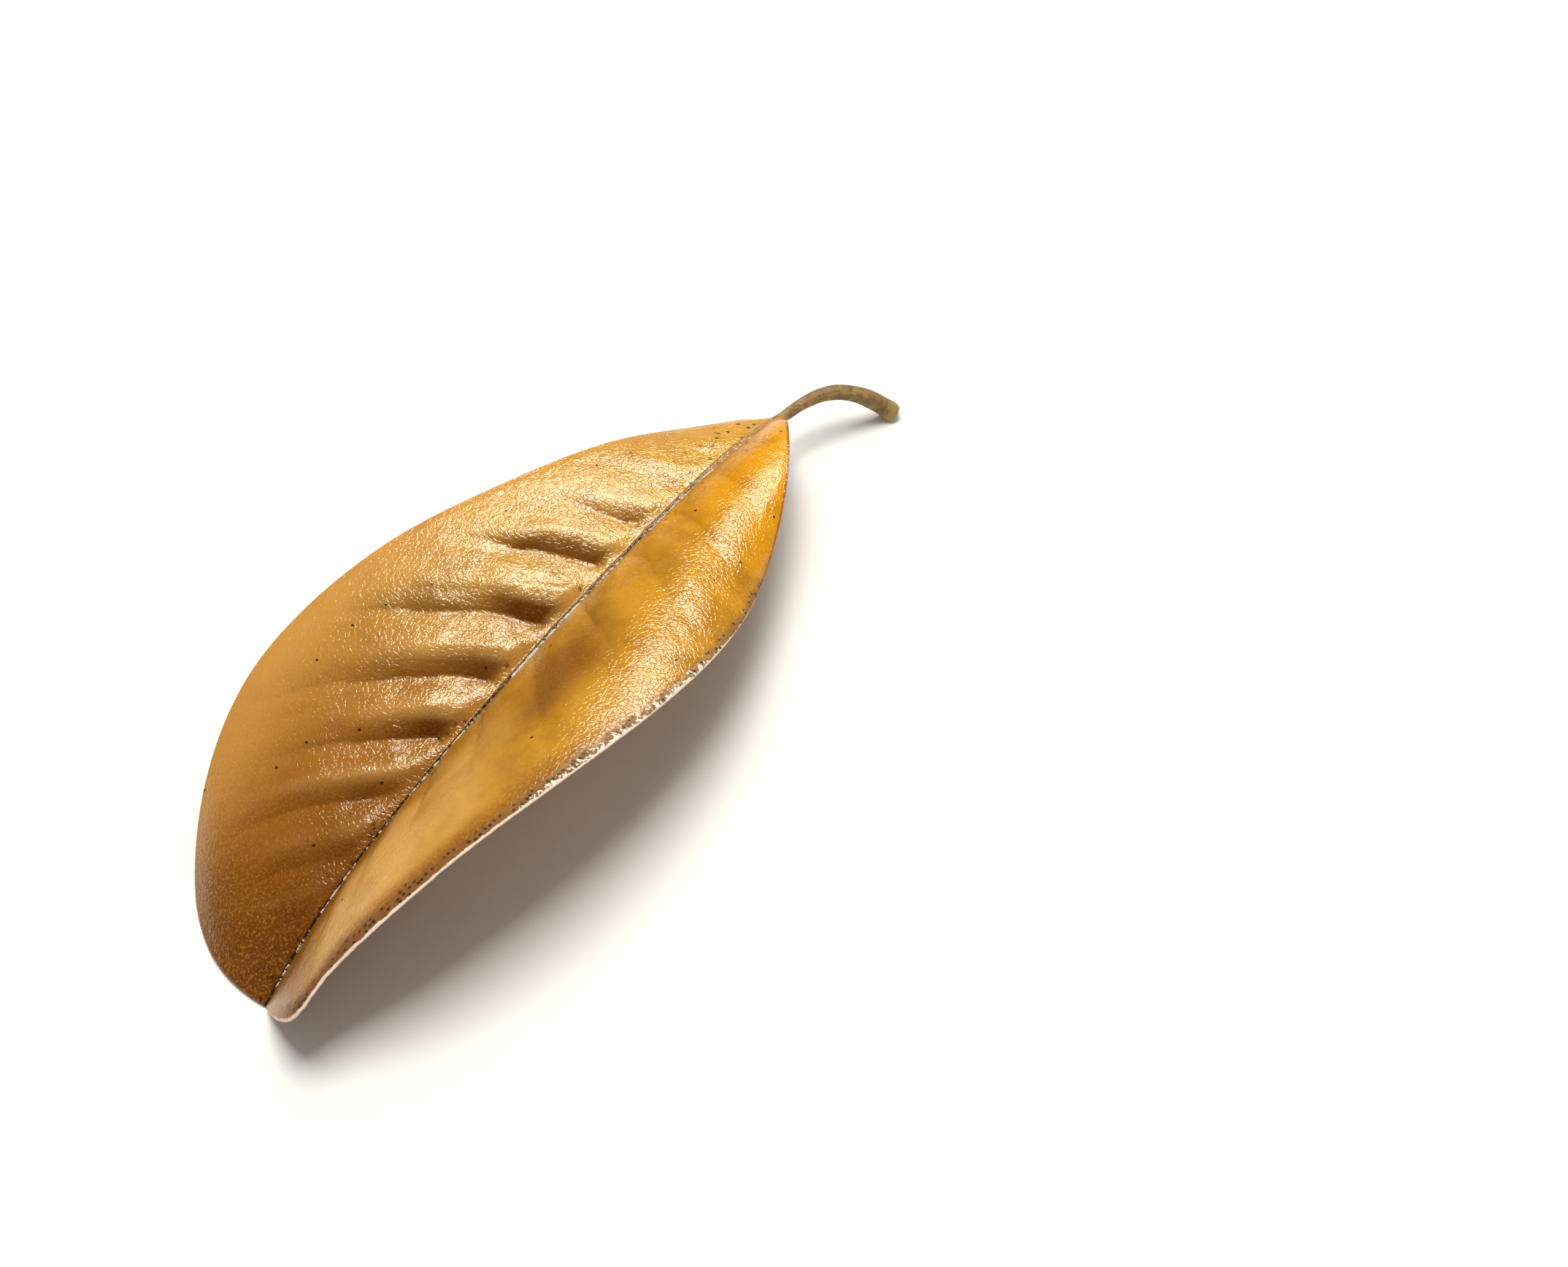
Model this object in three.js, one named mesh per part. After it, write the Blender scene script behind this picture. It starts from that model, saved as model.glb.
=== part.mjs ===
// A dried leathery leaf, as picked and lying on a table: blade, midrib and stalk, grown as one piece.
// Millimetres, +Z up. X runs from the stalk to the tip. The half of the blade at -Y lies spread out,
// and the half at +Y is folded up along the midrib and arches over.
import * as THREE from 'three'

// The blade, drawn flat. Lists run in equal steps from the stalk joint to the tip.
const BLADE_LENGTH = 100
const BLADE_THICKNESS = 0.45
const SPREAD_HALF_WIDTHS = [0.7, 10, 16.5, 22.5, 25, 22, 17, 9, 0.5]
const RAISED_HALF_WIDTHS = [0.7, 11, 19, 22.5, 22.5, 19.5, 14, 11, 0.5]
const VEIN_SWEEP = 20.5         // how far toward the tip a side vein runs on its way to the margin
const SWEEP_POWER = 1.5         // the sweep is largest a little past the middle of the blade
const SWEEP_START = 0.75        // the share of the sweep that a vein has in its first, straight stretch

// The dried shape, in degrees, and in degrees for each millimetre away from the midrib.
const MIDRIB_PITCHES = [18, 4, 0, -5, -11, -34]
const SPREAD_FOLDS = [-6, 15, 21, 20, 16, 8]
const SPREAD_CURLS = [3, 1.2, 0.9, 1, 1.5, 3.2]
const RAISED_FOLDS = [54, 46, 53, 61, 62, 56]
const RAISED_CURLS = [7.5, 6.3, 4.2, 3.1, 2.2, 1.2]

// The midrib, a ridge under the blade that fades toward the tip.
const RIB_DEPTHS = [0.95, 0.75, 0.6, 0.45, 0.3, 0.12]
const RIB_HALF_WIDTHS = [1.1, 0.95, 0.8, 0.7, 0.6, 0.5]

// The stalk: a round stem that arches down to its cut end.
const STALK_RADII = [0.72, 0.85, 0.98, 1.08, 1.2, 1.22]
const STALK_LEAVES_ALONG_MIDRIB = 3.3
const STALK_BEND = new THREE.Vector3(-8.1, 2.5, 2.9)
const STALK_CUT_END = new THREE.Vector3(-13.3, 7.6, -5.9)
const JOINT_LENGTH = 4          // the stretch of the blade over which the round stalk flattens out
const STALK_SIDE_ANGLE = 0.2    // radians, the half height of the narrow flat along each stalk side

const MIDRIB_STEPS = 400
const STALK_SEGMENTS = 14
const BLADE_SEGMENTS = 50
const ACROSS_SEGMENTS = 24
const CROWDING = 1.5            // above 1, the mesh lines lie closer together near the midrib

const radians = THREE.MathUtils.degToRad
const smoothstep = THREE.MathUtils.smoothstep
const lerp = THREE.MathUtils.lerp

// The value at t, from 0 to 1, on a smooth curve through equally spaced values.
function along(values, t) {
  const last = values.length - 1
  const place = THREE.MathUtils.clamp(t, 0, 1) * last
  const i = Math.min(Math.floor(place), last - 1)
  const f = place - i
  const b = values[i]
  const c = values[i + 1]
  const a = i > 0 ? values[i - 1] : 2 * b - c
  const d = i + 2 <= last ? values[i + 2] : 2 * c - b
  const bend = (2 * a - 5 * b + 4 * c - d) * f * f
  const twist = (3 * b - a - 3 * c + d) * f * f * f
  return (2 * b + (c - a) * f + bend + twist) / 2
}

function midribDirection(t) {
  const pitch = radians(along(MIDRIB_PITCHES, t))
  return new THREE.Vector3(Math.cos(pitch), 0, Math.sin(pitch))
}

// The midrib from the stalk joint, walked in short steps.
const midribPoints = [new THREE.Vector3()]
for (let i = 0; i < MIDRIB_STEPS; i++) {
  const step = midribDirection((i + 0.5) / MIDRIB_STEPS).multiplyScalar(BLADE_LENGTH / MIDRIB_STEPS)
  midribPoints.push(midribPoints[i].clone().add(step))
}

// The place and axes of a section: forward along the leaf, side toward +Y and upward.
function sectionAxes(point, forward) {
  const side = new THREE.Vector3(0, 0, 1).cross(forward).normalize()
  const upward = forward.clone().cross(side)
  return { point, forward, side, upward }
}

function midribSection(x) {
  const t = THREE.MathUtils.clamp(x / BLADE_LENGTH, 0, 1)
  const place = t * MIDRIB_STEPS
  const i = Math.min(Math.floor(place), MIDRIB_STEPS - 1)
  const forward = midribDirection(t)
  const point = midribPoints[i].clone().lerp(midribPoints[i + 1], place - i)
  point.addScaledVector(forward, x - t * BLADE_LENGTH)
  return sectionAxes(point, forward)
}

const stalkCurve = new THREE.CubicBezierCurve3(
  STALK_CUT_END,
  STALK_BEND,
  midribDirection(0).multiplyScalar(-STALK_LEAVES_ALONG_MIDRIB),
  new THREE.Vector3()
)

// The slope of the blade across the midrib, in radians, at y on the flat leaf.
function slopeAt(t, y) {
  const folds = y < 0 ? SPREAD_FOLDS : RAISED_FOLDS
  const curls = y < 0 ? SPREAD_CURLS : RAISED_CURLS
  return radians(along(folds, t) - along(curls, t) * Math.abs(y))
}

// Where the point (x, y) of the flat leaf lies once it is folded and curled, height above its middle.
function bend(x, y, height) {
  const { point, side, upward } = midribSection(x)
  const t = x / BLADE_LENGTH
  const fold = radians(along(y < 0 ? SPREAD_FOLDS : RAISED_FOLDS, t))
  const curl = radians(along(y < 0 ? SPREAD_CURLS : RAISED_CURLS, t))
  const slope = slopeAt(t, y)
  const outward = Math.sign(y) * (Math.sin(fold) - Math.sin(slope)) / curl
  const rise = (Math.cos(slope) - Math.cos(fold)) / curl
  const spreadSlope = slopeAt(t, Math.min(y, -1e-9))
  const raisedSlope = slopeAt(t, Math.max(y, 1e-9))
  const lean = lerp(spreadSlope, -raisedSlope, smoothstep(y, -1, 1))
  return point
    .addScaledVector(side, outward + height * Math.sin(lean))
    .addScaledVector(upward, rise + height * Math.cos(lean))
}

// A point of the blade: u from the stalk joint to the tip, v from -1 to 1 across, face -1 or 1.
function bladePoint(u, v, face) {
  const reach = Math.abs(v)
  const widths = v < 0 ? SPREAD_HALF_WIDTHS : RAISED_HALF_WIDTHS
  const sweep = VEIN_SWEEP * Math.sin(Math.PI * u ** SWEEP_POWER)
  const x = BLADE_LENGTH * u + sweep * lerp(SWEEP_START * reach, reach, reach)
  const y = along(widths, u) * v
  const t = x / BLADE_LENGTH
  const rib = along(RIB_DEPTHS, t) * Math.exp(-((y / along(RIB_HALF_WIDTHS, t)) ** 2))
  const height = face > 0 ? BLADE_THICKNESS / 2 : -BLADE_THICKNESS / 2 - rib
  return bend(x, y, height)
}

// A point of a round section: v from -1 to 1 across, face -1 or 1 for its lower or upper half.
function roundPoint({ point, side, upward }, radius, v, face) {
  const angle = face * lerp(STALK_SIDE_ANGLE, Math.PI - STALK_SIDE_ANGLE, (1 - v) / 2)
  return point.clone()
    .addScaledVector(side, radius * Math.cos(angle))
    .addScaledVector(upward, radius * Math.sin(angle))
}

// One closed skin: a box of stalk stations then blade stations along X, and v across along Y.
const ALONG_SEGMENTS = STALK_SEGMENTS + BLADE_SEGMENTS
const geometry = new THREE.BoxGeometry(ALONG_SEGMENTS, 2, 2, ALONG_SEGMENTS, ACROSS_SEGMENTS, 1)
const corners = geometry.attributes.position
for (let i = 0; i < corners.count; i++) {
  const station = Math.round(corners.getX(i) + ALONG_SEGMENTS / 2) - STALK_SEGMENTS
  const across = corners.getY(i)
  const face = corners.getZ(i)
  let place
  if (station < 0) {
    const t = 1 + station / STALK_SEGMENTS
    const section = sectionAxes(stalkCurve.getPointAt(t), stalkCurve.getTangentAt(t))
    place = roundPoint(section, along(STALK_RADII, 1 - t), across, face)
  } else {
    const u = station / BLADE_SEGMENTS
    const crowded = Math.sign(across) * Math.abs(across) ** CROWDING
    const round = roundPoint(midribSection(BLADE_LENGTH * u), STALK_RADII[0], across, face)
    const flattened = smoothstep(BLADE_LENGTH * u, 0, JOINT_LENGTH)
    place = round.lerp(bladePoint(u, crowded, face), flattened)
  }
  corners.setXYZ(i, place.x, place.y, place.z)
}

// The origin is under the middle of the leaf, on the table.
geometry.computeBoundingBox()
const { min, max } = geometry.boundingBox
geometry.translate(-(min.x + max.x) / 2, -(min.y + max.y) / 2, -min.z)
geometry.computeVertexNormals()

const driedLeaf = new THREE.MeshStandardMaterial({ color: 0xa96a2c, roughness: 0.42, metalness: 0 })
const leaf = new THREE.Mesh(geometry, driedLeaf)
leaf.name = 'leaf'

const group = new THREE.Group()
group.add(leaf)

export default group
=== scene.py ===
# %% [markdown]
# # A dried leaf, lying as it was picked
#
# The leaf is one grown piece: a stiff, leathery blade, a midrib and a short stalk. It has dried
# folded along its midrib, so one half of the blade lies spread out on the table and the other half
# stands up and arches over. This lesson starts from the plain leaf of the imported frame, which has
# the right size and lies the right way, and replaces its smooth surface with a fine skin that has
# sunken veins, puffed skin between them, a crusted rim and a wrinkled stalk.

import math

import bmesh
import bpy
import numpy as np
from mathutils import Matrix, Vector, noise


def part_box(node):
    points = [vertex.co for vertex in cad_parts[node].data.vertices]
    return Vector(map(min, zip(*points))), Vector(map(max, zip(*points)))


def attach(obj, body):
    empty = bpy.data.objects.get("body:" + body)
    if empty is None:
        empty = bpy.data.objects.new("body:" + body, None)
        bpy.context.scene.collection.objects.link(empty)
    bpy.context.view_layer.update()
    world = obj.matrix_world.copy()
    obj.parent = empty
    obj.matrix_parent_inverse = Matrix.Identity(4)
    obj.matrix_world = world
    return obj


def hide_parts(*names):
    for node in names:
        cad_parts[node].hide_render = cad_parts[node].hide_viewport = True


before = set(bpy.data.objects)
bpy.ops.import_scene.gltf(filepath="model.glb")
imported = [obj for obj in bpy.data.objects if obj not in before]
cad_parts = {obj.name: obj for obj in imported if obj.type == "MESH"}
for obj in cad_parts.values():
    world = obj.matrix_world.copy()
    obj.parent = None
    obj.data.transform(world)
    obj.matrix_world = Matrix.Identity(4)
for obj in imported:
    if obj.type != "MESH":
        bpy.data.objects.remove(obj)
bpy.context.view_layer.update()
MM = 0.001
leaf_low, leaf_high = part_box("leaf")
print("the leaf's box in mm:", [round(side / MM, 1) for side in Vector(leaf_high) - Vector(leaf_low)])

# %% [markdown]
# ## The camera
#
# The leaf is seen from above and from its tip's side, the stalk pointing away. A 60 mm lens on a
# full-frame sensor at arm's length keeps the perspective mild. The camera aims beside the leaf, so
# that the leaf sits to the left of the middle and below it.

# %% Camera
CAMERA_AZIMUTH = math.radians(123.4)
CAMERA_ELEVATION = math.radians(48.9)
CAMERA_DISTANCE = 0.2962
CAMERA_AIM = Vector((-0.0126, 0.0229, 0.0085))


def direction(azimuth, elevation):
    """The unit vector that points away from the leaf; azimuth 0 is the -Y side and 90 the +X side."""
    flat = math.cos(elevation)
    return Vector((math.sin(azimuth) * flat, -math.cos(azimuth) * flat, math.sin(elevation)))


def look_at(thing, aim):
    """Turns a camera or a lamp so that it looks at a point."""
    thing.rotation_mode = "QUATERNION"
    thing.rotation_quaternion = (aim - thing.location).to_track_quat("-Z", "Y")


camera = bpy.data.objects.new("camera", bpy.data.cameras.new("camera"))
camera.data.lens = 60
camera.data.sensor_width = 36
camera.data.clip_start = 0.01
camera.location = CAMERA_AIM + direction(CAMERA_AZIMUTH, CAMERA_ELEVATION) * CAMERA_DISTANCE
look_at(camera, CAMERA_AIM)
bpy.context.collection.objects.link(camera)
bpy.context.scene.camera = camera
print("camera at", [round(value, 3) for value in camera.location])

# %% [markdown]
# ## The leaf's plain shape
#
# A leaf is a flat thing that has been bent, so it is easiest to describe twice: first flat, by its
# outline on both sides of the midrib, and then by how the flat blade is folded and curled. The
# numbers are the frame's own, in millimetres and degrees. Each list runs in equal steps from the
# stalk joint to the tip, and a smooth curve joins its values.

# %% Sizes of the flat leaf and of its bends
BLADE_LENGTH = 100
BLADE_THICKNESS = 0.45
SPREAD_HALF_WIDTHS = [0.7, 10, 16.5, 22.5, 25, 22, 17, 9, 0.5]
RAISED_HALF_WIDTHS = [0.7, 11, 19, 22.5, 22.5, 19.5, 14, 11, 0.5]
VEIN_SWEEP = 20.5
SWEEP_POWER = 1.5
SWEEP_START = 0.75

MIDRIB_PITCHES = [18, 4, 0, -5, -11, -34]
SPREAD_FOLDS = [-6, 15, 21, 20, 16, 8]
SPREAD_CURLS = [3, 1.2, 0.9, 1, 1.5, 3.2]
RAISED_FOLDS = [54, 46, 53, 61, 62, 56]
RAISED_CURLS = [7.5, 6.3, 4.2, 3.1, 2.2, 1.2]

RIB_DEPTHS = [0.95, 0.75, 0.6, 0.45, 0.3, 0.12]
RIB_HALF_WIDTHS = [1.1, 0.95, 0.8, 0.7, 0.6, 0.5]

STALK_RADII = [0.72, 0.85, 0.98, 1.08, 1.2, 1.22]
STALK_LEAVES_ALONG_MIDRIB = 3.3
STALK_BEND = np.array([-8.1, 2.5, 2.9])
STALK_CUT_END = np.array([-13.3, 7.6, -5.9])
JOINT_LENGTH = 4


def along(values, t):
    """The value at t, from 0 to 1, on a smooth curve through equally spaced values."""
    values = np.asarray(values, float)
    last = len(values) - 1
    before = 2 * values[0] - values[1]
    after = 2 * values[-1] - values[-2]
    padded = np.concatenate([[before], values, [after]])
    place = np.clip(t, 0, 1) * last
    i = np.minimum(place.astype(int), last - 1)
    f = place - i
    a, b, c, d = (padded[i + k] for k in range(4))
    bend = (2 * a - 5 * b + 4 * c - d) * f**2
    twist = (3 * b - a - 3 * c + d) * f**3
    return (2 * b + (c - a) * f + bend + twist) / 2


def smoothstep(value, low, high):
    """0 below low, 1 above high and an S curve between them."""
    f = np.clip((value - low) / (high - low), 0, 1)
    return f * f * (3 - 2 * f)


def by_half(y, spread, raised, t):
    """A listed value at t, from the spread half's list where y is negative, else from the raised half's."""
    return np.where(y < 0, along(spread, t), along(raised, t))


print("widest half widths:", max(SPREAD_HALF_WIDTHS), "and", max(RAISED_HALF_WIDTHS), "mm")

# %% [markdown]
# The midrib is a line that rises from the stalk and dips to the tip. Walking it in short steps of
# known pitch gives its true length. At every place on it there are three directions: forward,
# sideways toward the raised half, and upward out of the fold.

# %% The midrib's and the stalk's lines
LINE_STEPS = 400


def pitch_vectors(t):
    """The midrib's forward direction at t along the blade."""
    pitch = np.radians(along(MIDRIB_PITCHES, t))
    return np.stack([np.cos(pitch), np.zeros_like(pitch), np.sin(pitch)], axis=-1)


midrib_steps = pitch_vectors((np.arange(LINE_STEPS) + 0.5) / LINE_STEPS) * BLADE_LENGTH / LINE_STEPS
midrib_line = np.concatenate([np.zeros((1, 3)), np.cumsum(midrib_steps, axis=0)])


def on_line(line, t):
    """The points at t, from 0 to 1, along a line of equally spaced points."""
    places = np.linspace(0, 1, len(line))
    return np.stack([np.interp(t, places, line[:, axis]) for axis in range(3)], axis=-1)


def section_axes(forward):
    """The sideways and upward directions of a section whose forward direction is known."""
    side = np.cross([0, 0, 1], forward)
    side /= np.linalg.norm(side, axis=-1, keepdims=True)
    return side, np.cross(forward, side)


def stalk_points(t):
    """The stalk's middle line, a cubic Bezier curve, with t from the joint at 0 to the cut end at 1."""
    t = np.asarray(t)[:, None]
    leaving = -pitch_vectors(np.zeros(1)) * STALK_LEAVES_ALONG_MIDRIB
    return 3 * leaving * (1 - t)**2 * t + 3 * STALK_BEND * (1 - t) * t**2 + STALK_CUT_END * t**3


raw_stalk = stalk_points(np.linspace(0, 1, LINE_STEPS))
stalk_reach = np.concatenate([[0], np.cumsum(np.linalg.norm(np.diff(raw_stalk, axis=0), axis=1))])
STALK_LENGTH = stalk_reach[-1]
even_reach = np.linspace(0, STALK_LENGTH, LINE_STEPS)
stalk_line = np.stack([np.interp(even_reach, stalk_reach, raw_stalk[:, axis]) for axis in range(3)], axis=-1)
stalk_forward = -np.gradient(stalk_line, axis=0)
stalk_forward /= np.linalg.norm(stalk_forward, axis=1, keepdims=True)
print("stalk length", round(STALK_LENGTH, 1), "mm, midrib end", midrib_line[-1].round(1))

# %% [markdown]
# Folding lifts each half away from the midrib by its fold angle, and curling turns it back a little
# for each millimetre outward, which gives a round arch. A height carries a point off the blade's
# middle along the surface's own direction, so it makes both the thickness and every small relief.


# %% Fold and curl the flat blade
def folded(x, y, height):
    """Where the flat leaf's points lie once they are folded and curled."""
    t = np.clip(x / BLADE_LENGTH, 0, 1)
    forward = pitch_vectors(t)
    side, upward = section_axes(forward)
    point = on_line(midrib_line, t) + forward * (x - t * BLADE_LENGTH)[:, None]
    reach = np.abs(y)
    spread_lean = np.radians(along(SPREAD_FOLDS, t) - along(SPREAD_CURLS, t) * np.where(y < 0, reach, 0))
    raised_lean = np.radians(along(RAISED_FOLDS, t) - along(RAISED_CURLS, t) * np.where(y < 0, 0, reach))
    fold = np.radians(by_half(y, SPREAD_FOLDS, RAISED_FOLDS, t))
    curl = np.radians(by_half(y, SPREAD_CURLS, RAISED_CURLS, t))
    slope = fold - curl * reach
    outward = np.sign(y) * (np.sin(fold) - np.sin(slope)) / curl
    rise = (np.cos(slope) - np.cos(fold)) / curl
    mitre = smoothstep(y, -1, 1)
    lean = spread_lean * (1 - mitre) - raised_lean * mitre
    outward = outward + height * np.sin(lean)
    rise = rise + height * np.cos(lean)
    return point + side * outward[:, None] + upward * rise[:, None]


def flat_places(u, v, half_width):
    """The flat leaf's x and y for u along the midrib and v from -1 to 1 along a side vein."""
    reach = np.abs(v)
    sweep = VEIN_SWEEP * np.sin(np.pi * np.clip(u, 0, 1)**SWEEP_POWER)
    x = BLADE_LENGTH * u + sweep * reach * (SWEEP_START + (1 - SWEEP_START) * reach)
    return x, half_width * v


check_u, check_v = (grid.ravel() for grid in np.meshgrid(np.linspace(0, 1, 200), np.linspace(-1, 1, 81)))
check_x, check_y = flat_places(check_u, check_v, by_half(check_v, SPREAD_HALF_WIDTHS, RAISED_HALF_WIDTHS, check_u))
plain_blade = folded(check_x, check_y, np.zeros_like(check_x))
print("the bare blade spans", np.ptp(plain_blade, axis=0).round(1), "mm")

# %% [markdown]
# ## Side veins, puffed skin and wrinkles
#
# As the leaf dried, its side veins stayed short and the skin between them bulged up, so on the upper
# face each vein lies in a crease and each strip between two veins is a long, low pillow. The pillows
# are strongest near the midrib of the spread half and die away toward the margin. The raised half
# dried almost smooth. A vein follows a line of constant u, so the distance to it is easy to work out.

# %% The relief of the side veins
SPREAD_VEINS = [-0.03, 0.06, 0.13, 0.2, 0.275, 0.355, 0.462, 0.555, 0.64, 0.725, 0.81, 0.885, 0.95, 1.02]
SPREAD_VEIN_STRENGTHS = [0, 0.1, 0.25, 0.4, 0.55, 1, 1, 0.9, 0.8, 0.6, 0.5, 0.25, 0.1, 0]
RAISED_VEINS = [-0.02, 0.09, 0.17, 0.25, 0.33, 0.42, 0.51, 0.6, 0.68, 0.765, 0.845, 0.915, 1.02]
RAISED_VEIN_STRENGTHS = [0, 0.1, 0.2, 0.3, 0.3, 0.35, 0.35, 0.3, 0.3, 0.2, 0.15, 0.1, 0]
VEIN_SLANT = 0.82               # a side vein leaves the midrib at about 55 degrees, whose sine this is
PILLOW_HEIGHT = 1.2
PILLOW_SHARPNESS = 0.75         # below 1, the creases between pillows are narrow
PILLOW_LEAN = 1.2               # above 1, a pillow's slope is steeper on the tip's side
CREASE_DEPTH = 0.1
CREASE_HALF_WIDTH = 0.45


def wander(points, size, seed):
    """Smooth noise from about -1 to 1, with bumps about size millimetres apart."""
    return np.array([noise.noise(Vector(point) / size + Vector((seed, 0, 0))) for point in points])


def vein_pattern(u, veins, strengths):
    """For places u: the millimetres to the nearest vein, its strength, the pillow height and its far slope, which
    carries painted shade.
    """
    veins = np.array(veins)
    strengths = np.array(strengths)
    i = np.clip(np.searchsorted(veins, u) - 1, 0, len(veins) - 2)
    phase = np.clip((u - veins[i]) / (veins[i + 1] - veins[i]), 0, 1)
    gap = np.minimum(u - veins[i], veins[i + 1] - u) * BLADE_LENGTH * VEIN_SLANT
    strength = strengths[i] * (1 - phase) + strengths[i + 1] * phase
    leaning = phase**PILLOW_LEAN
    roof = 1 - np.abs(2 * leaning - 1)
    pillow = (np.abs(np.sin(np.pi * leaning))**PILLOW_SHARPNESS + roof) / 2
    return np.abs(gap), strength, pillow, smoothstep(phase, 0.5, 0.85)


print(len(SPREAD_VEINS) - 2, "veins on the spread half,", len(RAISED_VEINS) - 2, "on the raised half")

# %% [markdown]
# ## The skin's rows and columns
#
# The whole leaf, stalk and blade, is one closed skin, so it can be rolled out of one flat grid, the
# way a tube is rolled from a sheet. Rows run from the middle of the stalk's cut end to the tip.
# Columns run round each section: over the upper face from the spread margin to the raised one, and
# back under the lower face. Columns crowd together at the midrib and at the margins, where the leaf
# has its finest shapes, and five of them round off each margin.

# %% Rows and columns
CUT_END_RINGS = [0, 0.35, 0.68, 0.88, 0.97]
STALK_ROWS = 40
BLADE_ROWS = 262
TIP_ROWS = 12
TIP_START = 0.985
EDGE_COLUMNS = 5
UPPER_COLUMNS = 76              # from the midrib to where the margin starts to round off
LOWER_COLUMNS = 48


def half_columns(count):
    """Reaches from 0 at the midrib to 1, closer together at both ends."""
    s = np.arange(count + 1) / count
    return 1 - (1 - s**1.5)**1.3


def face_columns(count):
    """(v, edge angle) of the columns from the spread nose to the raised nose; the angle is 90 off the edge."""
    body = half_columns(count)
    angles = np.linspace(0, 90, EDGE_COLUMNS + 1)[:-1]
    reach = np.concatenate([np.ones(EDGE_COLUMNS), body[::-1], body[1:], np.ones(EDGE_COLUMNS)])
    side = np.concatenate([-np.ones(EDGE_COLUMNS + count), [1], np.ones(EDGE_COLUMNS + count)])
    angle = np.concatenate([angles, np.full(2 * count + 1, 90), angles[::-1]])
    return side * reach, angle


upper_v, upper_angle = face_columns(UPPER_COLUMNS)
lower_v, lower_angle = face_columns(LOWER_COLUMNS)
column_v = np.concatenate([upper_v, lower_v[::-1][1:]])
column_edge = np.radians(np.concatenate([upper_angle, lower_angle[::-1][1:]]))
column_face = np.concatenate([np.ones(len(upper_v)), -np.ones(len(lower_v) - 1)])
round_upper = np.linspace(np.pi, 0, len(upper_v))
round_lower = np.linspace(0, -np.pi, len(lower_v))[1:]
column_round = np.concatenate([round_upper, round_lower])

cut_rows = np.full(len(CUT_END_RINGS), -STALK_LENGTH)
stalk_rows = np.linspace(-STALK_LENGTH, 0, STALK_ROWS + 1)[:-1]
blade_rows = np.linspace(0, TIP_START, BLADE_ROWS + 1)[:-1] * BLADE_LENGTH
tip_turn = np.linspace(0, np.pi / 2, TIP_ROWS + 1)
tip_rows = (TIP_START + (1 - TIP_START) * np.sin(tip_turn)) * BLADE_LENGTH
row_place = np.concatenate([cut_rows, stalk_rows, blade_rows, tip_rows])
row_ring = np.concatenate([CUT_END_RINGS, np.ones(len(row_place) - len(CUT_END_RINGS))])
print(len(row_place), "rows and", len(column_v) - 1, "columns")

# %% [markdown]
# A grid operator makes the sheet. Every corner knows its row and its column from where it lies on
# the flat grid, and that is all the shaping functions need.

# %% The flat sheet
skin = bmesh.new()
bmesh.ops.create_grid(skin, x_segments=len(row_place) - 1, y_segments=len(column_v) - 1, size=1)
skin.verts.ensure_lookup_table()
flat = np.array([vert.co[:2] for vert in skin.verts])
row = np.round((flat[:, 0] + 1) / 2 * (len(row_place) - 1)).astype(int)
column = np.round((flat[:, 1] + 1) / 2 * (len(column_v) - 1)).astype(int)
print("sheet of", len(skin.verts), "corners")

# %% [markdown]
# ## The blade
#
# The height of each corner off the blade's middle is the sum of what a leaf has: its thickness,
# thinner toward the margin but with a swollen rim on the raised half; the pillows and creases, which
# both faces share; a flat channel on top of the midrib and the midrib's ridge below; and thin
# ridges under the side veins. Small noise keeps any of it from looking drawn with a ruler.

# %% Blade corners
place = row_place[row]
u = np.clip(place / BLADE_LENGTH, 0, 1)
v = column_v[column]
edge = column_edge[column]
face = column_face[column]
tip_cap = np.sqrt(np.clip(1 - (np.clip(u - TIP_START, 0, 1) / (1 - TIP_START))**2, 0, 1))
half_width = by_half(v, SPREAD_HALF_WIDTHS, RAISED_HALF_WIDTHS, u) * tip_cap

spread_half = v < 0
rim = np.where(spread_half, 0, smoothstep(u, 0.2, 0.32))
nose_radius = np.minimum(0.13, 0.4 * half_width)
body_width = half_width - nose_radius
across = np.sign(v) * (np.abs(v) * body_width + nose_radius * np.cos(edge))
v_true = across / np.maximum(half_width, 1e-6)
x, y = flat_places(u, v_true, half_width)
flat_points = np.stack([x, y, np.zeros_like(x)], axis=1)
reach = np.abs(v_true)
off_margin = half_width - np.abs(y)

sway = wander(flat_points, 9, 3) * 0.007 + wander(flat_points, 3.5, 5) * 0.003
swayed_u = u + sway * smoothstep(reach, 0.0, 0.2)
spread_pattern = vein_pattern(swayed_u, SPREAD_VEINS, SPREAD_VEIN_STRENGTHS)
raised_pattern = vein_pattern(swayed_u, RAISED_VEINS, RAISED_VEIN_STRENGTHS)
patterns = [np.where(spread_half, s, r) for s, r in zip(spread_pattern, raised_pattern)]
vein_gap, vein_strength, pillow, far_slope_shade = patterns

fading = 1 - 0.9 * smoothstep(reach + 0.25 * wander(flat_points, 9, 7), 0.15, 0.85)
fading = fading * (1 + 0.45 * wander(flat_points, 7, 41))
opening = smoothstep(np.abs(y), 0.3, 2.5) * smoothstep(off_margin, 0, 3)
vein_envelope = vein_strength * fading * opening
quilting = PILLOW_HEIGHT * vein_envelope * (pillow - 0.55)
crease = np.exp(-(vein_gap / CREASE_HALF_WIDTH)**2) * vein_envelope
print("deepest crease", quilting.min().round(2), "mm, highest pillow", quilting.max().round(2), "mm")

# %% [markdown]
# Between the big creases lie smaller wrinkles. Short ones run along the veins, where the skin was
# squeezed, and a fine crumple, like that of glove leather, covers the pillows.

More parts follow.
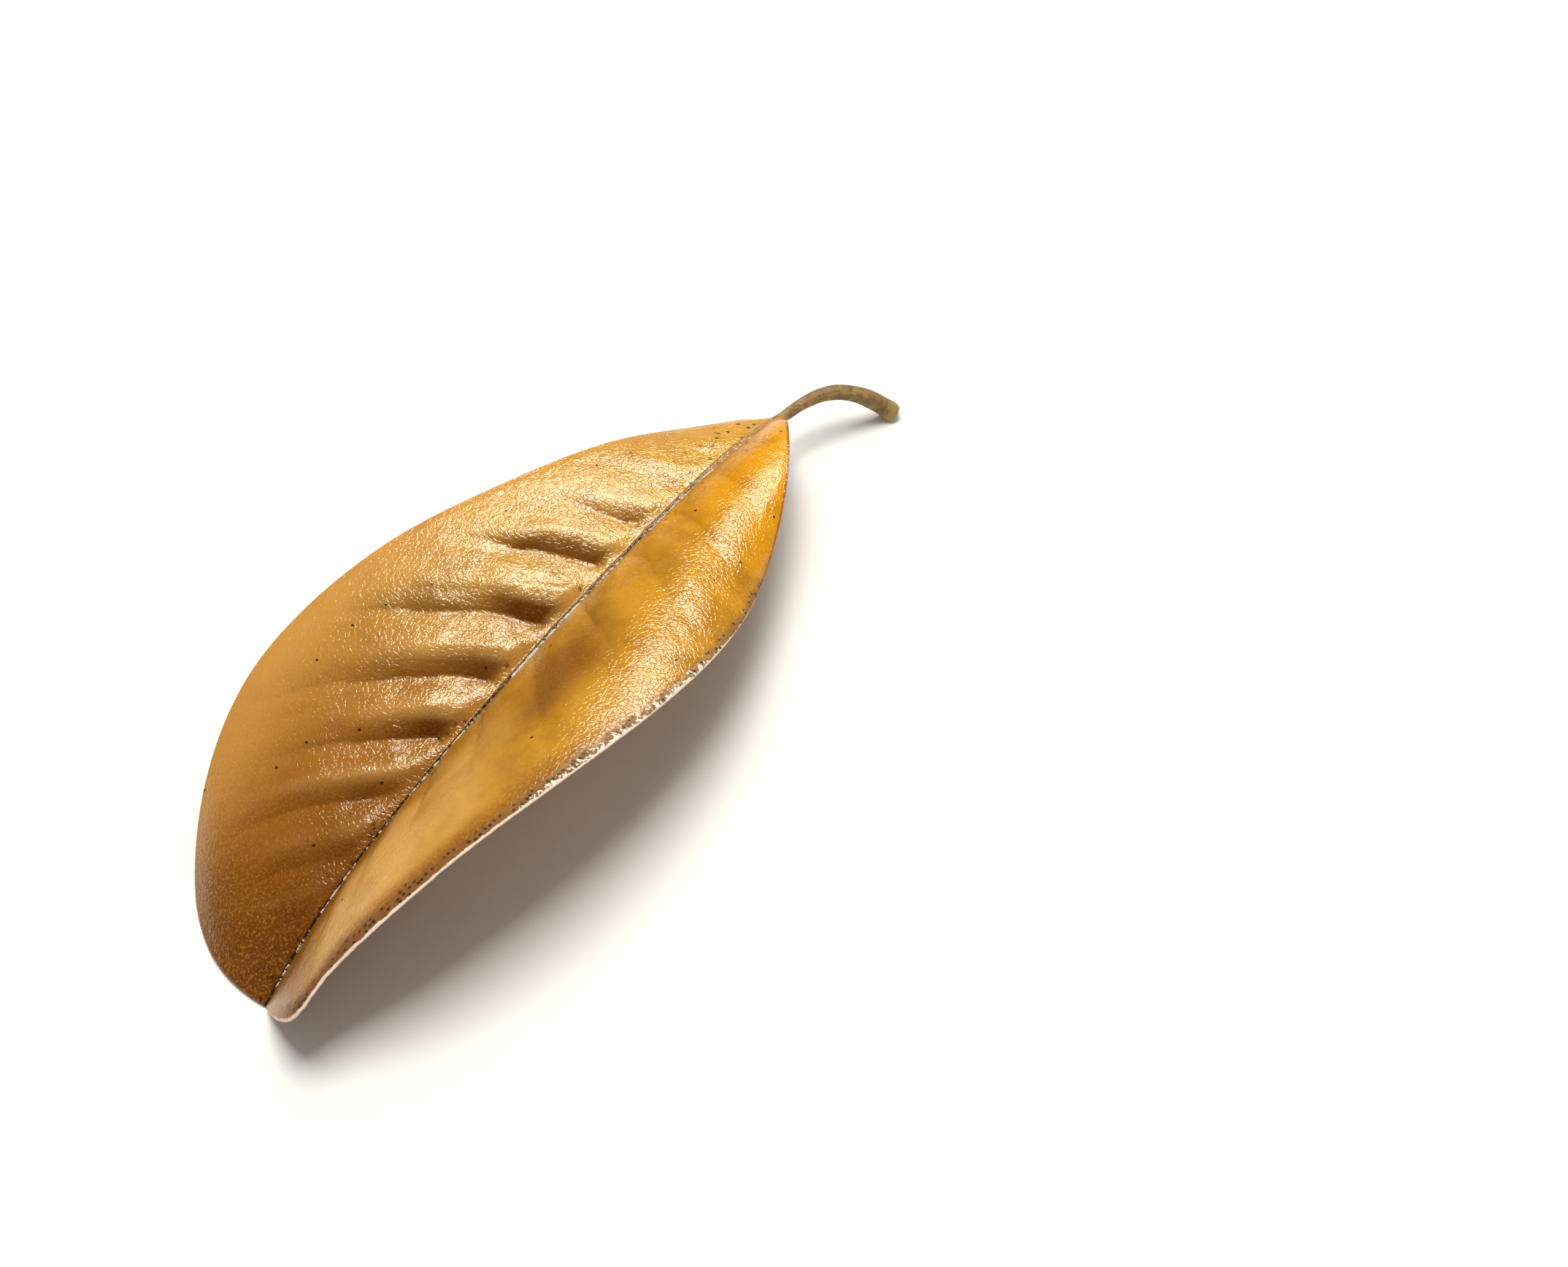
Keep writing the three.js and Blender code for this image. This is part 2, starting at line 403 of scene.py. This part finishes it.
# %% Wrinkles and crumple
along_vein = np.stack([x * 0.9 - np.abs(y) * 0.6, np.abs(y) * 0.3, np.sign(v)], axis=1)
wrinkles = 0.1 * wander(along_vein, 1.3, 11) * (0.15 + vein_envelope)
crumple = 0.12 * wander(flat_points, 3.2, 13) + 0.05 * wander(flat_points, 1.4, 17)
crumple = crumple * smoothstep(off_margin, 0, 2) * (0.35 + 1.1 * vein_envelope)
raised_hollow = -0.5 * np.exp(-((u - 0.56) / 0.07)**2 - ((v_true - 0.3) / 0.2)**2)
waviness = 0.25 * wander(flat_points, 17, 19) * smoothstep(np.abs(y), 1, 9)
shared_relief = quilting + wrinkles + crumple + raised_hollow + waviness

# %% Midrib, rim and underside ridges
t = np.clip(x / BLADE_LENGTH, 0, 1)
rib_shape = np.exp(-(y / along(RIB_HALF_WIDTHS, t))**2)
rib_below = along(RIB_DEPTHS, t) * rib_shape * smoothstep(1 - u, 0, 0.03)
channel_half_width = 0.72 - 0.5 * u
channel_fill = (0.3 - 0.2 * u) * np.exp(-(y / channel_half_width)**4)
channel_grooves = -0.07 * np.exp(-((np.abs(y) - channel_half_width) / 0.16)**2)
rim_bead = 0.06 * rim * np.exp(-((off_margin - 0.45) / 0.35)**2) * (1 + 0.6 * wander(flat_points, 1.1, 23))
rim_crumbs = 0.07 * rim * wander(flat_points, 0.5, 29) * smoothstep(0.9 - off_margin, 0, 0.5)
under_veins = 0.22 * np.exp(-(vein_gap / 0.4)**2) * (1 - reach)**0.6 * smoothstep(np.abs(y), 0, 1)

swelling = nose_radius + smoothstep(off_margin, 0.2, 1.5) * (BLADE_THICKNESS / 2 - nose_radius)
top = swelling + channel_fill + channel_grooves + rim_bead - CREASE_DEPTH * crease
bottom = -swelling - rib_below - under_veins
height = np.where(face > 0, top, bottom) * np.sin(edge) + shared_relief + rim_crumbs
height = np.where(half_width < 0.02, 0, height)
blade_corners = folded(x, y, height)
print("blade corners span", np.ptp(blade_corners, axis=0).round(1), "mm")

# %% [markdown]
# ## The stalk
#
# The stalk is a round stem that leaves the blade along the midrib, bends sideways and comes down to
# the table on its cut end, which is a little swollen, as where it sat on the twig. Dried stalks
# shrink onto their fibres, so shallow grooves run along it. Over the first few millimetres of the
# blade the round section flattens into the midrib, which is a plain blend of the two shapes.

# %% Stalk corners
stalk_t = np.clip(-place / STALK_LENGTH, 0, 1)
angle = column_round[column]
on_stalk = place < 0
forward = np.where(on_stalk[:, None], on_line(stalk_forward, stalk_t), pitch_vectors(u))
forward /= np.linalg.norm(forward, axis=1, keepdims=True)
side, upward = section_axes(forward)
centre = np.where(on_stalk[:, None], on_line(stalk_line, stalk_t), on_line(midrib_line, u))
ring = row_ring[row]
round_points = np.stack([np.cos(angle) * 2.2, np.sin(angle) * 2.2, place * 0.16], axis=1)
grooves = 0.075 * wander(round_points, 0.8, 31) * smoothstep(stalk_t, 0, 0.1)
lumps = 0.05 * wander(round_points * [1, 1, 4], 1.6, 37)
end_swell = 0.12 * smoothstep(stalk_t, 0.9, 0.99)
radius = (along(STALK_RADII, stalk_t) + grooves + lumps + end_swell - 0.08) * ring
dome = -0.22 * np.where(ring < 1, 1 - ring**2, 0) * smoothstep(stalk_t, 0.99, 1)
stalk_corners = centre + forward * dome[:, None]
stalk_corners += side * (radius * np.cos(angle))[:, None] + upward * (radius * np.sin(angle))[:, None]

flattened = smoothstep(place, 0, JOINT_LENGTH)[:, None]
corners = stalk_corners * (1 - flattened) + blade_corners * flattened
print("stalk corners:", int(on_stalk.sum()))

# %% [markdown]
# The plain leaf of the frame and this skin are the same shape before the small relief, so one shift
# puts the skin in its place. The shift comes from a plain copy of the shape and the frame's own box.

# %% Put the skin in its place in the frame
plain_upper = folded(check_x, check_y, np.full_like(check_x, BLADE_THICKNESS / 2))
plain_lower = folded(check_x, check_y, np.full_like(check_x, -BLADE_THICKNESS / 2))
plain_stalk = stalk_corners[on_stalk & (ring == 1)]
plain = np.concatenate([plain_upper, plain_lower, plain_stalk])
plain_low = plain.min(axis=0)
plain_high = plain.max(axis=0)
leaf_middle = (np.array(leaf_low) + np.array(leaf_high)) / 2 / MM
shift = leaf_middle - (plain_low + plain_high) / 2
shift[2] = leaf_low[2] / MM - plain_low[2]
print("shift", shift.round(2), "mm")

# %% Close the skin
values = {
    "lengthwise": place / BLADE_LENGTH,
    "across": v_true,
    "flat_x": x,
    "flat_y": y,
    "off_margin": np.where(on_stalk, 10, off_margin + (1 - flattened[:, 0]) * 10),
    "crease": crease,
    "pillow": quilting / PILLOW_HEIGHT,
    "far_slope_shade": far_slope_shade * vein_envelope,
    "under": np.where(face > 0, 0, 1) * (1 - np.cos(edge)),
    "stalk": 1 - smoothstep(place, -1.5, 2.5),
}
for name, numbers in values.items():
    layer = skin.verts.layers.float.new(name)
    for vert, number in zip(skin.verts, numbers):
        vert[layer] = number
for vert, corner in zip(skin.verts, (corners + shift) * MM):
    vert.co = corner
bmesh.ops.remove_doubles(skin, verts=skin.verts, dist=2e-7)
bmesh.ops.dissolve_degenerate(skin, edges=skin.edges, dist=1e-7)
bmesh.ops.recalc_face_normals(skin, faces=skin.faces)
open_edges = [e for e in skin.edges if not e.is_manifold]
print("closed skin of", len(skin.faces), "faces with", len(open_edges), "open edges")

# %% The leaf object, with a flat map of the blade
map_layer = skin.loops.layers.uv.new("leaf_flat")
x_layer = skin.verts.layers.float["flat_x"]
y_layer = skin.verts.layers.float["flat_y"]
for leaf_face in skin.faces:
    leaf_face.smooth = True
    for loop in leaf_face.loops:
        loop[map_layer].uv = (loop.vert[x_layer] / BLADE_LENGTH, loop.vert[y_layer] / BLADE_LENGTH)
leaf_mesh = bpy.data.meshes.new("leaf_skin")
skin.to_mesh(leaf_mesh)
skin.free()
leaf = bpy.data.objects.new("leaf_skin", leaf_mesh)
bpy.context.collection.objects.link(leaf)
print("triangles:", sum(len(polygon.vertices) - 2 for polygon in leaf_mesh.polygons))

# %% [markdown]
# ## A small kit for materials
#
# A procedural material is a chain of small sums, so a few helpers keep it readable. Each makes one
# node, sets plain numbers straight on its sockets, and links whatever else it is given.


# %% Node helpers
def colour(code):
    """A colour from its six-digit screen code, as the linear numbers that shaders use."""
    parts = [int(code[i:i + 2], 16) / 255 for i in (0, 2, 4)]
    linear = [part / 12.92 if part <= 0.04045 else ((part + 0.055) / 1.055)**2.4 for part in parts]
    return (*linear, 1)


class Tree:
    """Makes nodes in one material and hands back their output sockets."""

    def __init__(self, name):
        self.material = bpy.data.materials.new(name)
        self.material.use_nodes = True
        self.nodes = self.material.node_tree.nodes
        self.nodes.clear()

    def node(self, kind, inputs=None, **settings):
        made = self.nodes.new("ShaderNode" + kind)
        for name, value in settings.items():
            setattr(made, name, value)
        for name, value in (inputs or {}).items():
            self.set(made.inputs[name], value)
        return made

    def set(self, socket, value):
        if isinstance(value, bpy.types.NodeSocket):
            self.material.node_tree.links.new(value, socket)
        else:
            socket.default_value = value

    def maths(self, operation, *values, clamp=False):
        numbers = dict(enumerate(values))
        return self.node("Math", numbers, operation=operation, use_clamp=clamp).outputs[0]

    def mix(self, factor, first, second, blend="MIX"):
        made = self.node("Mix", data_type="RGBA", blend_type=blend)
        self.set(made.inputs[0], factor)
        self.set(made.inputs[6], first)
        self.set(made.inputs[7], second)
        return made.outputs[2]

    def ramp(self, value, stops):
        """A smooth run of colours, given as (place, colour) pairs."""
        made = self.node("ValToRGB", {"Fac": value})
        made.color_ramp.interpolation = "B_SPLINE"
        elements = made.color_ramp.elements
        while len(elements) < len(stops):
            elements.new(1)
        for element, (at, tone) in zip(elements, stops):
            element.position = at
            element.color = tone
        return made.outputs["Color"]

    def band(self, value, low, high, start=0, end=1):
        """Runs from start at low to end at high along an S curve."""
        made = self.node("MapRange", {"Value": value, "From Min": low, "From Max": high},
                         interpolation_type="SMOOTHSTEP")
        made.inputs["To Min"].default_value = start
        made.inputs["To Max"].default_value = end
        return made.outputs["Result"]

    def attribute(self, name):
        return self.node("Attribute", attribute_name=name).outputs["Fac"]

    def noise(self, where, scale, detail=2, roughness=0.5, seed=0):
        """Noise from 0 to 1 in three dimensions; seed slides it elsewhere."""
        moved = self.node("Mapping", {"Vector": where, "Location": (seed, seed, 0)}).outputs[0]
        inputs = {"Vector": moved, "Scale": scale, "Detail": detail, "Roughness": roughness}
        return self.node("TexNoise", inputs).outputs["Fac"]

    def bump(self, height, distance, strength=1, below=None):
        inputs = {"Height": height, "Distance": distance, "Strength": strength}
        if below is not None:
            inputs["Normal"] = below
        return self.node("Bump", inputs).outputs["Normal"]


print("node kit ready")

# %% [markdown]
# ## The leaf's finish
#
# A dried leaf isn't one brown. The spread half runs from pale gold at the stalk through caramel to
# a dark red-brown at the tip, and part of that darkening is painted shade where the tip bends down away
# from the light. The raised half runs from clear orange to amber, and its clear orange near the stalk is
# painted glow, light shining through the skin from behind. The colours follow the blade, so they read
# the skin's own values: how far along, how far across, how far from the margin.
# The fine grain is the same in every direction, so it reads Object coordinates.

# %% What the finish reads
finish = Tree("dried_leaf")
PER_MM = 1000                   # noise scales below are bumps per millimetre times this
grain = finish.node("TexCoord").outputs["Object"]
flat_map = finish.node("UVMap", uv_map="leaf_flat").outputs["UV"]
lengthwise = finish.attribute("lengthwise")
across_blade = finish.attribute("across")
from_margin = finish.attribute("off_margin")
crease_shade_mask = finish.attribute("crease")
pillow_height = finish.attribute("pillow")
under_face = finish.attribute("under")
stalk_share = finish.attribute("stalk")
flat_y = finish.attribute("flat_y")
from_midrib = finish.maths("ABSOLUTE", flat_y)
raised_side = finish.band(flat_y, -0.15, 0.15)
print("the finish reads", sorted(values))

# %% The upper face's broad colours
cloudy = finish.noise(grain, 0.09 * PER_MM, 3, 0.55)
drift = finish.maths("MULTIPLY_ADD", cloudy, 0.16, -0.08)
drifting = finish.maths("ADD", lengthwise, drift)
# Painted shade: part of the spread half's darkening toward the tip, where the blade bends down away from the
# light.
spread_tones = finish.ramp(drifting, [
    (0.0, colour("eeae24")),
    (0.10, colour("e4a41c")),
    (0.25, colour("d29e44")),
    (0.42, colour("c28e3e")),
    (0.60, colour("a46c24")),
    (0.74, colour("8c5416")),
    (0.88, colour("602f02")),
    (1.0, colour("603008")),
])
# Painted glow: the clear orange near the stalk stands for light shining through the skin from behind.
raised_tones = finish.ramp(drifting, [
    (0.0, colour("f2a814")),
    (0.12, colour("ee9e06")),
    (0.28, colour("d6951c")),
    (0.48, colour("c28a24")),
    (0.62, colour("b87e20")),
    (0.76, colour("9a6010")),
    (0.90, colour("7e4606")),
    (1.0, colour("8a5a28")),
])
upper = finish.mix(raised_side, spread_tones, raised_tones)

# %% [markdown]
# Over the broad colours lie soft clouds. On the raised half, painted shade darkens its hollow to a brown
# patch, a painted sheen runs paler toward the tip, and the margin darkens, partly in its own colour and
# partly as painted shade where the half curls over. A pale, dry bloom makes the outer part of the spread
# half look dusty. The pillows' tops are paler, and painted shade darkens the creases between them and
# each pillow's far slope to a redder brown.

# %% Clouds, painted shade and sheen, bloom
patches = finish.band(finish.noise(grain, 0.22 * PER_MM, 4, 0.6, 0.013), 0.42, 0.68)
upper = finish.mix(finish.maths("MULTIPLY", patches, 0.35), upper, colour("86521a"))
# Painted shade: the hollow on the raised half is darkened to a brown patch.
hollow_shade_along = finish.maths("MULTIPLY", finish.band(lengthwise, 0.38, 0.46), finish.band(lengthwise, 0.58, 0.49))
hollow_shade_across = finish.maths("MULTIPLY", finish.band(across_blade, 0.1, 0.42), finish.band(across_blade, 0.72, 0.5))
hollow_shade = finish.maths("MULTIPLY", hollow_shade_along, hollow_shade_across)
hollow_shade = finish.maths("MULTIPLY", hollow_shade, finish.band(cloudy, 0.3, 0.55, 0.55, 0.85))
upper = finish.mix(hollow_shade, upper, colour("80480e"))
# Painted shade: the creases and each pillow's far slope, which faces away from the light, are darkened to a redder
# brown.
upper = finish.mix(finish.maths("MULTIPLY", crease_shade_mask, 0.55), upper, colour("6e3c14"))
upper = finish.mix(finish.maths("MULTIPLY", finish.attribute("far_slope_shade"), 0.95), upper, colour("5e3008"))
# Painted sheen: a paler band runs down the raised half toward the tip, where its arch catches the light.
sheen_along = finish.maths("MULTIPLY", finish.band(lengthwise, 0.52, 0.62), finish.band(lengthwise, 0.92, 0.78))
sheen_across = finish.maths("MULTIPLY", finish.band(across_blade, 0.2, 0.5), finish.band(across_blade, 0.96, 0.82))
painted_sheen = finish.maths("MULTIPLY", finish.maths("MULTIPLY", sheen_along, sheen_across), finish.band(cloudy, 0.3, 0.6, 0.3, 1))
upper = finish.mix(finish.maths("MULTIPLY", painted_sheen, 0.65), upper, colour("ecb864"))
# Darker toward the raised half's margin beyond its middle: partly the margin's own darker colour, partly painted
# shade where the half curls over away from the light.
dark_edge_and_shade = finish.maths("MULTIPLY", finish.band(across_blade, 0.84, 0.95), finish.band(lengthwise, 0.3, 0.5))
upper = finish.mix(finish.maths("MULTIPLY", dark_edge_and_shade, 0.6), upper, colour("7e4408"))
# The pillows' tops are paler.
pale_pillow_tops = finish.band(pillow_height, 0.0, 0.42, 0, 0.25)
upper = finish.mix(pale_pillow_tops, upper, colour("dfb46c"))
pale_margin = finish.maths("MULTIPLY", finish.band(from_margin, 9, 1), finish.band(lengthwise, 0.78, 0.6))
pale_margin = finish.maths("MULTIPLY", finish.maths("SUBTRACT", 1, raised_side), pale_margin)
upper = finish.mix(finish.maths("MULTIPLY", pale_margin, 0.55), upper, colour("d59a4c"))
dust_noise = finish.noise(grain, 3.4 * PER_MM, 2, 0.7, 0.031)
dust = finish.band(dust_noise, 0.45, 0.75)
dusty_zone = finish.maths("MULTIPLY", finish.band(from_margin, 11, 1), finish.band(lengthwise, 0.3, 0.5))
dusting = finish.maths("MULTIPLY", dust, finish.maths("MULTIPLY_ADD", dusty_zone, 0.35, 0.12))
upper = finish.mix(dusting, upper, colour("cf9444"))

# %% [markdown]
# Dark specks of mould dot the skin, most of them near the stalk and along the midrib. A cell
# pattern with its cells kept only now and then gives round dots that never line up.


# %% Specks
def specks(size_mm, spread_mm, share, seed):
    """Round dots: 1 inside them, 0 outside; share is how many of the cells hold one."""
    moved = finish.node("Mapping", {"Vector": flat_map, "Location": (seed, 0, 0)}).outputs[0]
    inputs = {"Vector": moved, "Scale": BLADE_LENGTH / spread_mm, "Randomness": 1}
    cells = finish.node("TexVoronoi", inputs, voronoi_dimensions="2D")
    dot = finish.band(cells.outputs["Distance"], size_mm / spread_mm, 0.4 * size_mm / spread_mm)
    chosen = finish.node("SeparateColor", {"Color": cells.outputs["Color"]}).outputs[0]
    return finish.maths("MULTIPLY", dot, finish.maths("LESS_THAN", chosen, share))


near_stalk = finish.maths("MULTIPLY", finish.band(lengthwise, 0.24, 0.1), finish.band(from_midrib, 6, 2))
near_stalk = finish.maths("MULTIPLY", near_stalk, finish.maths("MULTIPLY_ADD", raised_side, -0.6, 1))
near_midrib = finish.band(from_midrib, 2.4, 0.8, 0, 0.8)
speck_zone = finish.maths("ADD", near_stalk, near_midrib, clamp=True)
many_specks = finish.maths("MULTIPLY", specks(0.34, 1.2, 0.4, 0.7), speck_zone)
few_specks = specks(0.24, 4.5, 0.25, 0.3)
all_specks = finish.maths("MAXIMUM", many_specks, few_specks)
upper = finish.mix(finish.maths("MULTIPLY", all_specks, 0.95), upper, colour("2a170a"))

# %% [markdown]
# ## Midrib channel and rim
#
# On top, the midrib is a flat channel of mauve brown that narrows to a dark line, with flakes of
# whitish crust along its raised side. The raised half's rim is a swollen bead: a broken dark fringe,
# black crumbs in it, and a pale, dry lip outside. Nearer the stalk only a thin red-brown line shows.

# %% The midrib channel's colours
channel_width = finish.maths("MULTIPLY_ADD", lengthwise, -0.62, 0.85)
channel_place = finish.maths("DIVIDE", from_midrib, channel_width)
channel = finish.band(channel_place, 1.15, 0.8)
channel_tone = finish.ramp(lengthwise, [(0.0, colour("b98a4c")), (0.2, colour("9c6f4e")), (0.5, colour("5a3416")),
                                        (1.0, colour("4a2a12"))])
upper = finish.mix(finish.maths("MULTIPLY", channel, 0.75), upper, channel_tone)
bits = finish.noise(grain, 2 * PER_MM, 2, 0.7, 0.017)
bits_place = finish.maths("ADD", flat_y, finish.maths("MULTIPLY_ADD", bits, -0.5, 0.25))
line_shape = finish.band(finish.maths("ABSOLUTE", bits_place), 0.4, 0.28)
line_fade = finish.band(lengthwise, 0.08, 0.25, 0.25, 1)
upper = finish.mix(finish.maths("MULTIPLY", line_shape, line_fade), upper, colour("2a1b10"))
pale_share = finish.noise(grain, 0.22 * PER_MM, 2, 0.6, 0.023)
pale_bits = finish.band(finish.maths("ADD", bits, pale_share), 1.0, 1.06)
pale_place = finish.maths("ABSOLUTE", finish.maths("ADD", flat_y, -0.22))
pale_shape = finish.maths("MULTIPLY", finish.band(pale_place, 0.38, 0.24), finish.band(lengthwise, 0.12, 0.25))
midrib_flakes = finish.maths("MULTIPLY", pale_bits, pale_shape)
upper = finish.mix(finish.maths("MULTIPLY", midrib_flakes, 0.9), upper, colour("dfd3bf"))

# %% The rim's colours
rim_zone = finish.maths("MULTIPLY", raised_side, finish.band(lengthwise, 0.16, 0.26))
rough_margin = finish.noise(grain, 0.8 * PER_MM, 3, 0.65, 0.041)
ragged = finish.maths("MULTIPLY_ADD", rough_margin, -1.8, 0.9)
margin_place = finish.maths("ADD", from_margin, ragged)
fringe = finish.maths("MULTIPLY", finish.band(margin_place, 1.6, 0.5), rim_zone)
upper = finish.mix(finish.maths("MULTIPLY", fringe, 0.6), upper, colour("6e3f16"))
crumbs = finish.maths("MULTIPLY", specks(0.26, 0.6, 0.5, 1.9), finish.band(margin_place, 1.5, 0.7))
crumbs = finish.maths("MULTIPLY", crumbs, rim_zone)
upper = finish.mix(crumbs, upper, colour("1c120a"))
crust_amount = finish.band(lengthwise, 0.26, 0.36)
crust_amount = finish.maths("MULTIPLY", crust_amount, finish.band(lengthwise, 0.58, 0.46, 0.12, 1))
crust_bits = finish.noise(grain, 1.6 * PER_MM, 3, 0.75, 0.067)
crust_reach = finish.maths("MULTIPLY", finish.band(crust_bits, 0.4, 0.64), 1.2)
crust_edge = finish.maths("SUBTRACT", finish.maths("MULTIPLY", crust_reach, crust_amount), from_margin)
crust = finish.maths("MULTIPLY", finish.band(crust_edge, -0.05, 0.1), rim_zone)
crust = finish.maths("MULTIPLY", crust, finish.maths("SUBTRACT", 1, finish.maths("MULTIPLY", crumbs, 0.8)))
upper = finish.mix(finish.maths("MULTIPLY", crust, 0.9), upper, colour("f2ecdc"))
lip_noise = finish.noise(grain, 1.2 * PER_MM, 3, 0.6, 0.053)
lip_place = finish.maths("MULTIPLY_ADD", lip_noise, -0.5, from_margin)
lip = finish.maths("MULTIPLY", finish.band(lip_place, 0.0, -0.14), rim_zone)
upper = finish.mix(finish.maths("MULTIPLY", lip, 0.92), upper, colour("f0d8c4"))
tip_lip = finish.maths("MULTIPLY", finish.band(lengthwise, 0.84, 0.97), finish.band(across_blade, 0.45, 0.85))
upper = finish.mix(finish.maths("MULTIPLY", tip_lip, 0.8), upper, colour("d9bba0"))
base_line = finish.maths("MULTIPLY", raised_side, finish.band(lengthwise, 0.3, 0.2))
base_line = finish.maths("MULTIPLY", base_line, finish.band(from_margin, 0.55, 0.25))
upper = finish.mix(finish.maths("MULTIPLY", base_line, 0.7), upper, colour("8a3f12"))

# %% [markdown]
# ## Underside and stalk
#
# The lower face has no gloss. It is a paler, dull brown with a close net of fine veins, and the
# raised midrib and side veins are lighter than the skin between them. The stalk is khaki, streaked
# along its fibres, and yellower at the cut.

# %% Underside colour
net = finish.node("TexVoronoi", {"Vector": flat_map, "Scale": 85, "Randomness": 0.9}, feature="DISTANCE_TO_EDGE")
fine_net = finish.node("TexVoronoi", {"Vector": flat_map, "Scale": 230}, feature="DISTANCE_TO_EDGE")
net_line = finish.band(net.outputs["Distance"], 0.09, 0.02)
fine_line = finish.band(fine_net.outputs["Distance"], 0.12, 0.03)
netting = finish.maths("MAXIMUM", net_line, finish.maths("MULTIPLY", fine_line, 0.5))
below = finish.ramp(drifting, [(0.0, colour("c99a5c")), (0.4, colour("b08151")), (0.75, colour("97693f")),
                               (1.0, colour("7d5431"))])
below = finish.mix(finish.maths("MULTIPLY", patches, 0.3), below, colour("8d5c33"))
below = finish.mix(finish.maths("MULTIPLY", netting, 0.35), below, colour("d0a877"))
rib_tone = finish.band(from_midrib, 1.6, 0.7)
below = finish.mix(finish.maths("MULTIPLY", rib_tone, 0.7), below, colour("a97c4c"))
blade_colour = finish.mix(finish.band(under_face, 0.35, 0.65), upper, below)

# %% Stalk colour
fibres = finish.noise(grain, 0.7 * PER_MM, 4, 0.65, 0.061)
stalk_tone = finish.ramp(fibres, [(0.3, colour("5e4526")), (0.5, colour("8c6c3c")), (0.72, colour("b39459"))])
cut_end = finish.band(lengthwise, -0.155, -0.176)
stalk_tone = finish.mix(finish.maths("MULTIPLY", cut_end, 0.6), stalk_tone, colour("b79a4e"))
skin_colour = finish.mix(stalk_share, blade_colour, stalk_tone)

# %% [markdown]
# ## Gloss and fine relief
#
# The upper face is waxy and smooth enough to shine, but the shine breaks up on a pebbled grain, as
# on leather. Roughness carries the wax, and two layers of bump carry the grain and the finer
# crackle, both far smaller than the skin's own faces.

# %% Gloss, grain and the finished material
waxy = finish.band(finish.noise(grain, 0.5 * PER_MM, 3, 0.6, 0.071), 0.3, 0.7, 0.12, 0.22)
dull = finish.maths("MAXIMUM", finish.band(under_face, 0.35, 0.65), stalk_share)
for dry_mark in (lip, crust, fringe):
    dull = finish.maths("MAXIMUM", dull, dry_mark)
roughness = finish.maths("MULTIPLY_ADD", dull, 0.5, finish.maths("MULTIPLY_ADD", dusty_zone, 0.08, waxy))
pebbles = finish.noise(grain, 1.5 * PER_MM, 3, 0.62, 0.083)
crackle = finish.node("TexVoronoi", {"Vector": grain, "Scale": 1.7 * PER_MM}, feature="DISTANCE_TO_EDGE")
crackle_line = finish.band(crackle.outputs["Distance"], 0.0, 0.2)
coarse_normal = finish.bump(pebbles, 0.0001, finish.maths("MULTIPLY_ADD", raised_side, -0.45, 1))
net_normal = finish.bump(finish.maths("MULTIPLY", netting, under_face), 0.00008, 1, coarse_normal)
fine_normal = finish.bump(crackle_line, 0.000022, 1, net_normal)
shader = finish.node("BsdfPrincipled", {
    "Base Color": skin_colour,
    "Roughness": roughness,
    "Normal": fine_normal,
    "Specular IOR Level": 0.6,
    "Specular Tint": (1, 0.93, 0.76, 1),
})
output = finish.node("OutputMaterial", {"Surface": shader.outputs[0]})
leaf_mesh.materials.append(finish.material)
print("finish made of", len(finish.nodes), "nodes")

# %% [markdown]
# ## Floor and light
#
# The leaf lies on a plain pale table. A soft lamp almost overhead gives it its light and a compact
# shadow. A second one, behind it and to its left, makes only the glints: it shines in the wax of the
# pillows from beyond the leaf, so that their near slopes stay dark. A pale sky fills the shadows.

# %% Floor
floor_sheet = bmesh.new()
bmesh.ops.create_grid(floor_sheet, x_segments=1, y_segments=1, size=1.5)
floor_mesh = bpy.data.meshes.new("floor")
floor_sheet.to_mesh(floor_mesh)
floor_sheet.free()
floor = bpy.data.objects.new("floor", floor_mesh)
bpy.context.collection.objects.link(floor)
table = Tree("pale_table")
table_shader = table.node("BsdfPrincipled", {"Base Color": colour("f4f3f0"), "Roughness": 0.7})
table.node("OutputMaterial", {"Surface": table_shader.outputs[0]})
floor_mesh.materials.append(table.material)

# %% Light
def window(name, azimuth, elevation, distance, width, height, power):
    """A soft rectangular lamp that looks at the leaf."""
    lamp = bpy.data.lights.new(name, "AREA")
    lamp.shape = "RECTANGLE"
    lamp.size = width
    lamp.size_y = height
    lamp.energy = power
    lamp.color = (1, 0.98, 0.93)
    made = bpy.data.objects.new(name, lamp)
    made.location = direction(math.radians(azimuth), math.radians(elevation)) * distance
    look_at(made, Vector((0, 0, 0)))
    bpy.context.collection.objects.link(made)
    return made


window("overhead", 346, 85, 0.7, 0.36, 0.36, 5).visible_glossy = False
window("glints", 275, 52, 0.7, 0.32, 0.4, 6.5).visible_diffuse = False
world = bpy.data.worlds.new("pale_sky")
world.use_nodes = True
world.node_tree.nodes["Background"].inputs["Color"].default_value = (1, 0.985, 0.95, 1)
world.node_tree.nodes["Background"].inputs["Strength"].default_value = 0.3
world.cycles_visibility.glossy = False
bpy.context.scene.world = world
bpy.context.scene.view_settings.view_transform = "Standard"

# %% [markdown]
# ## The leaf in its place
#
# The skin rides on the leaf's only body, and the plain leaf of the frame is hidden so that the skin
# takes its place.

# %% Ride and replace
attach(leaf, "root")
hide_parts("leaf")
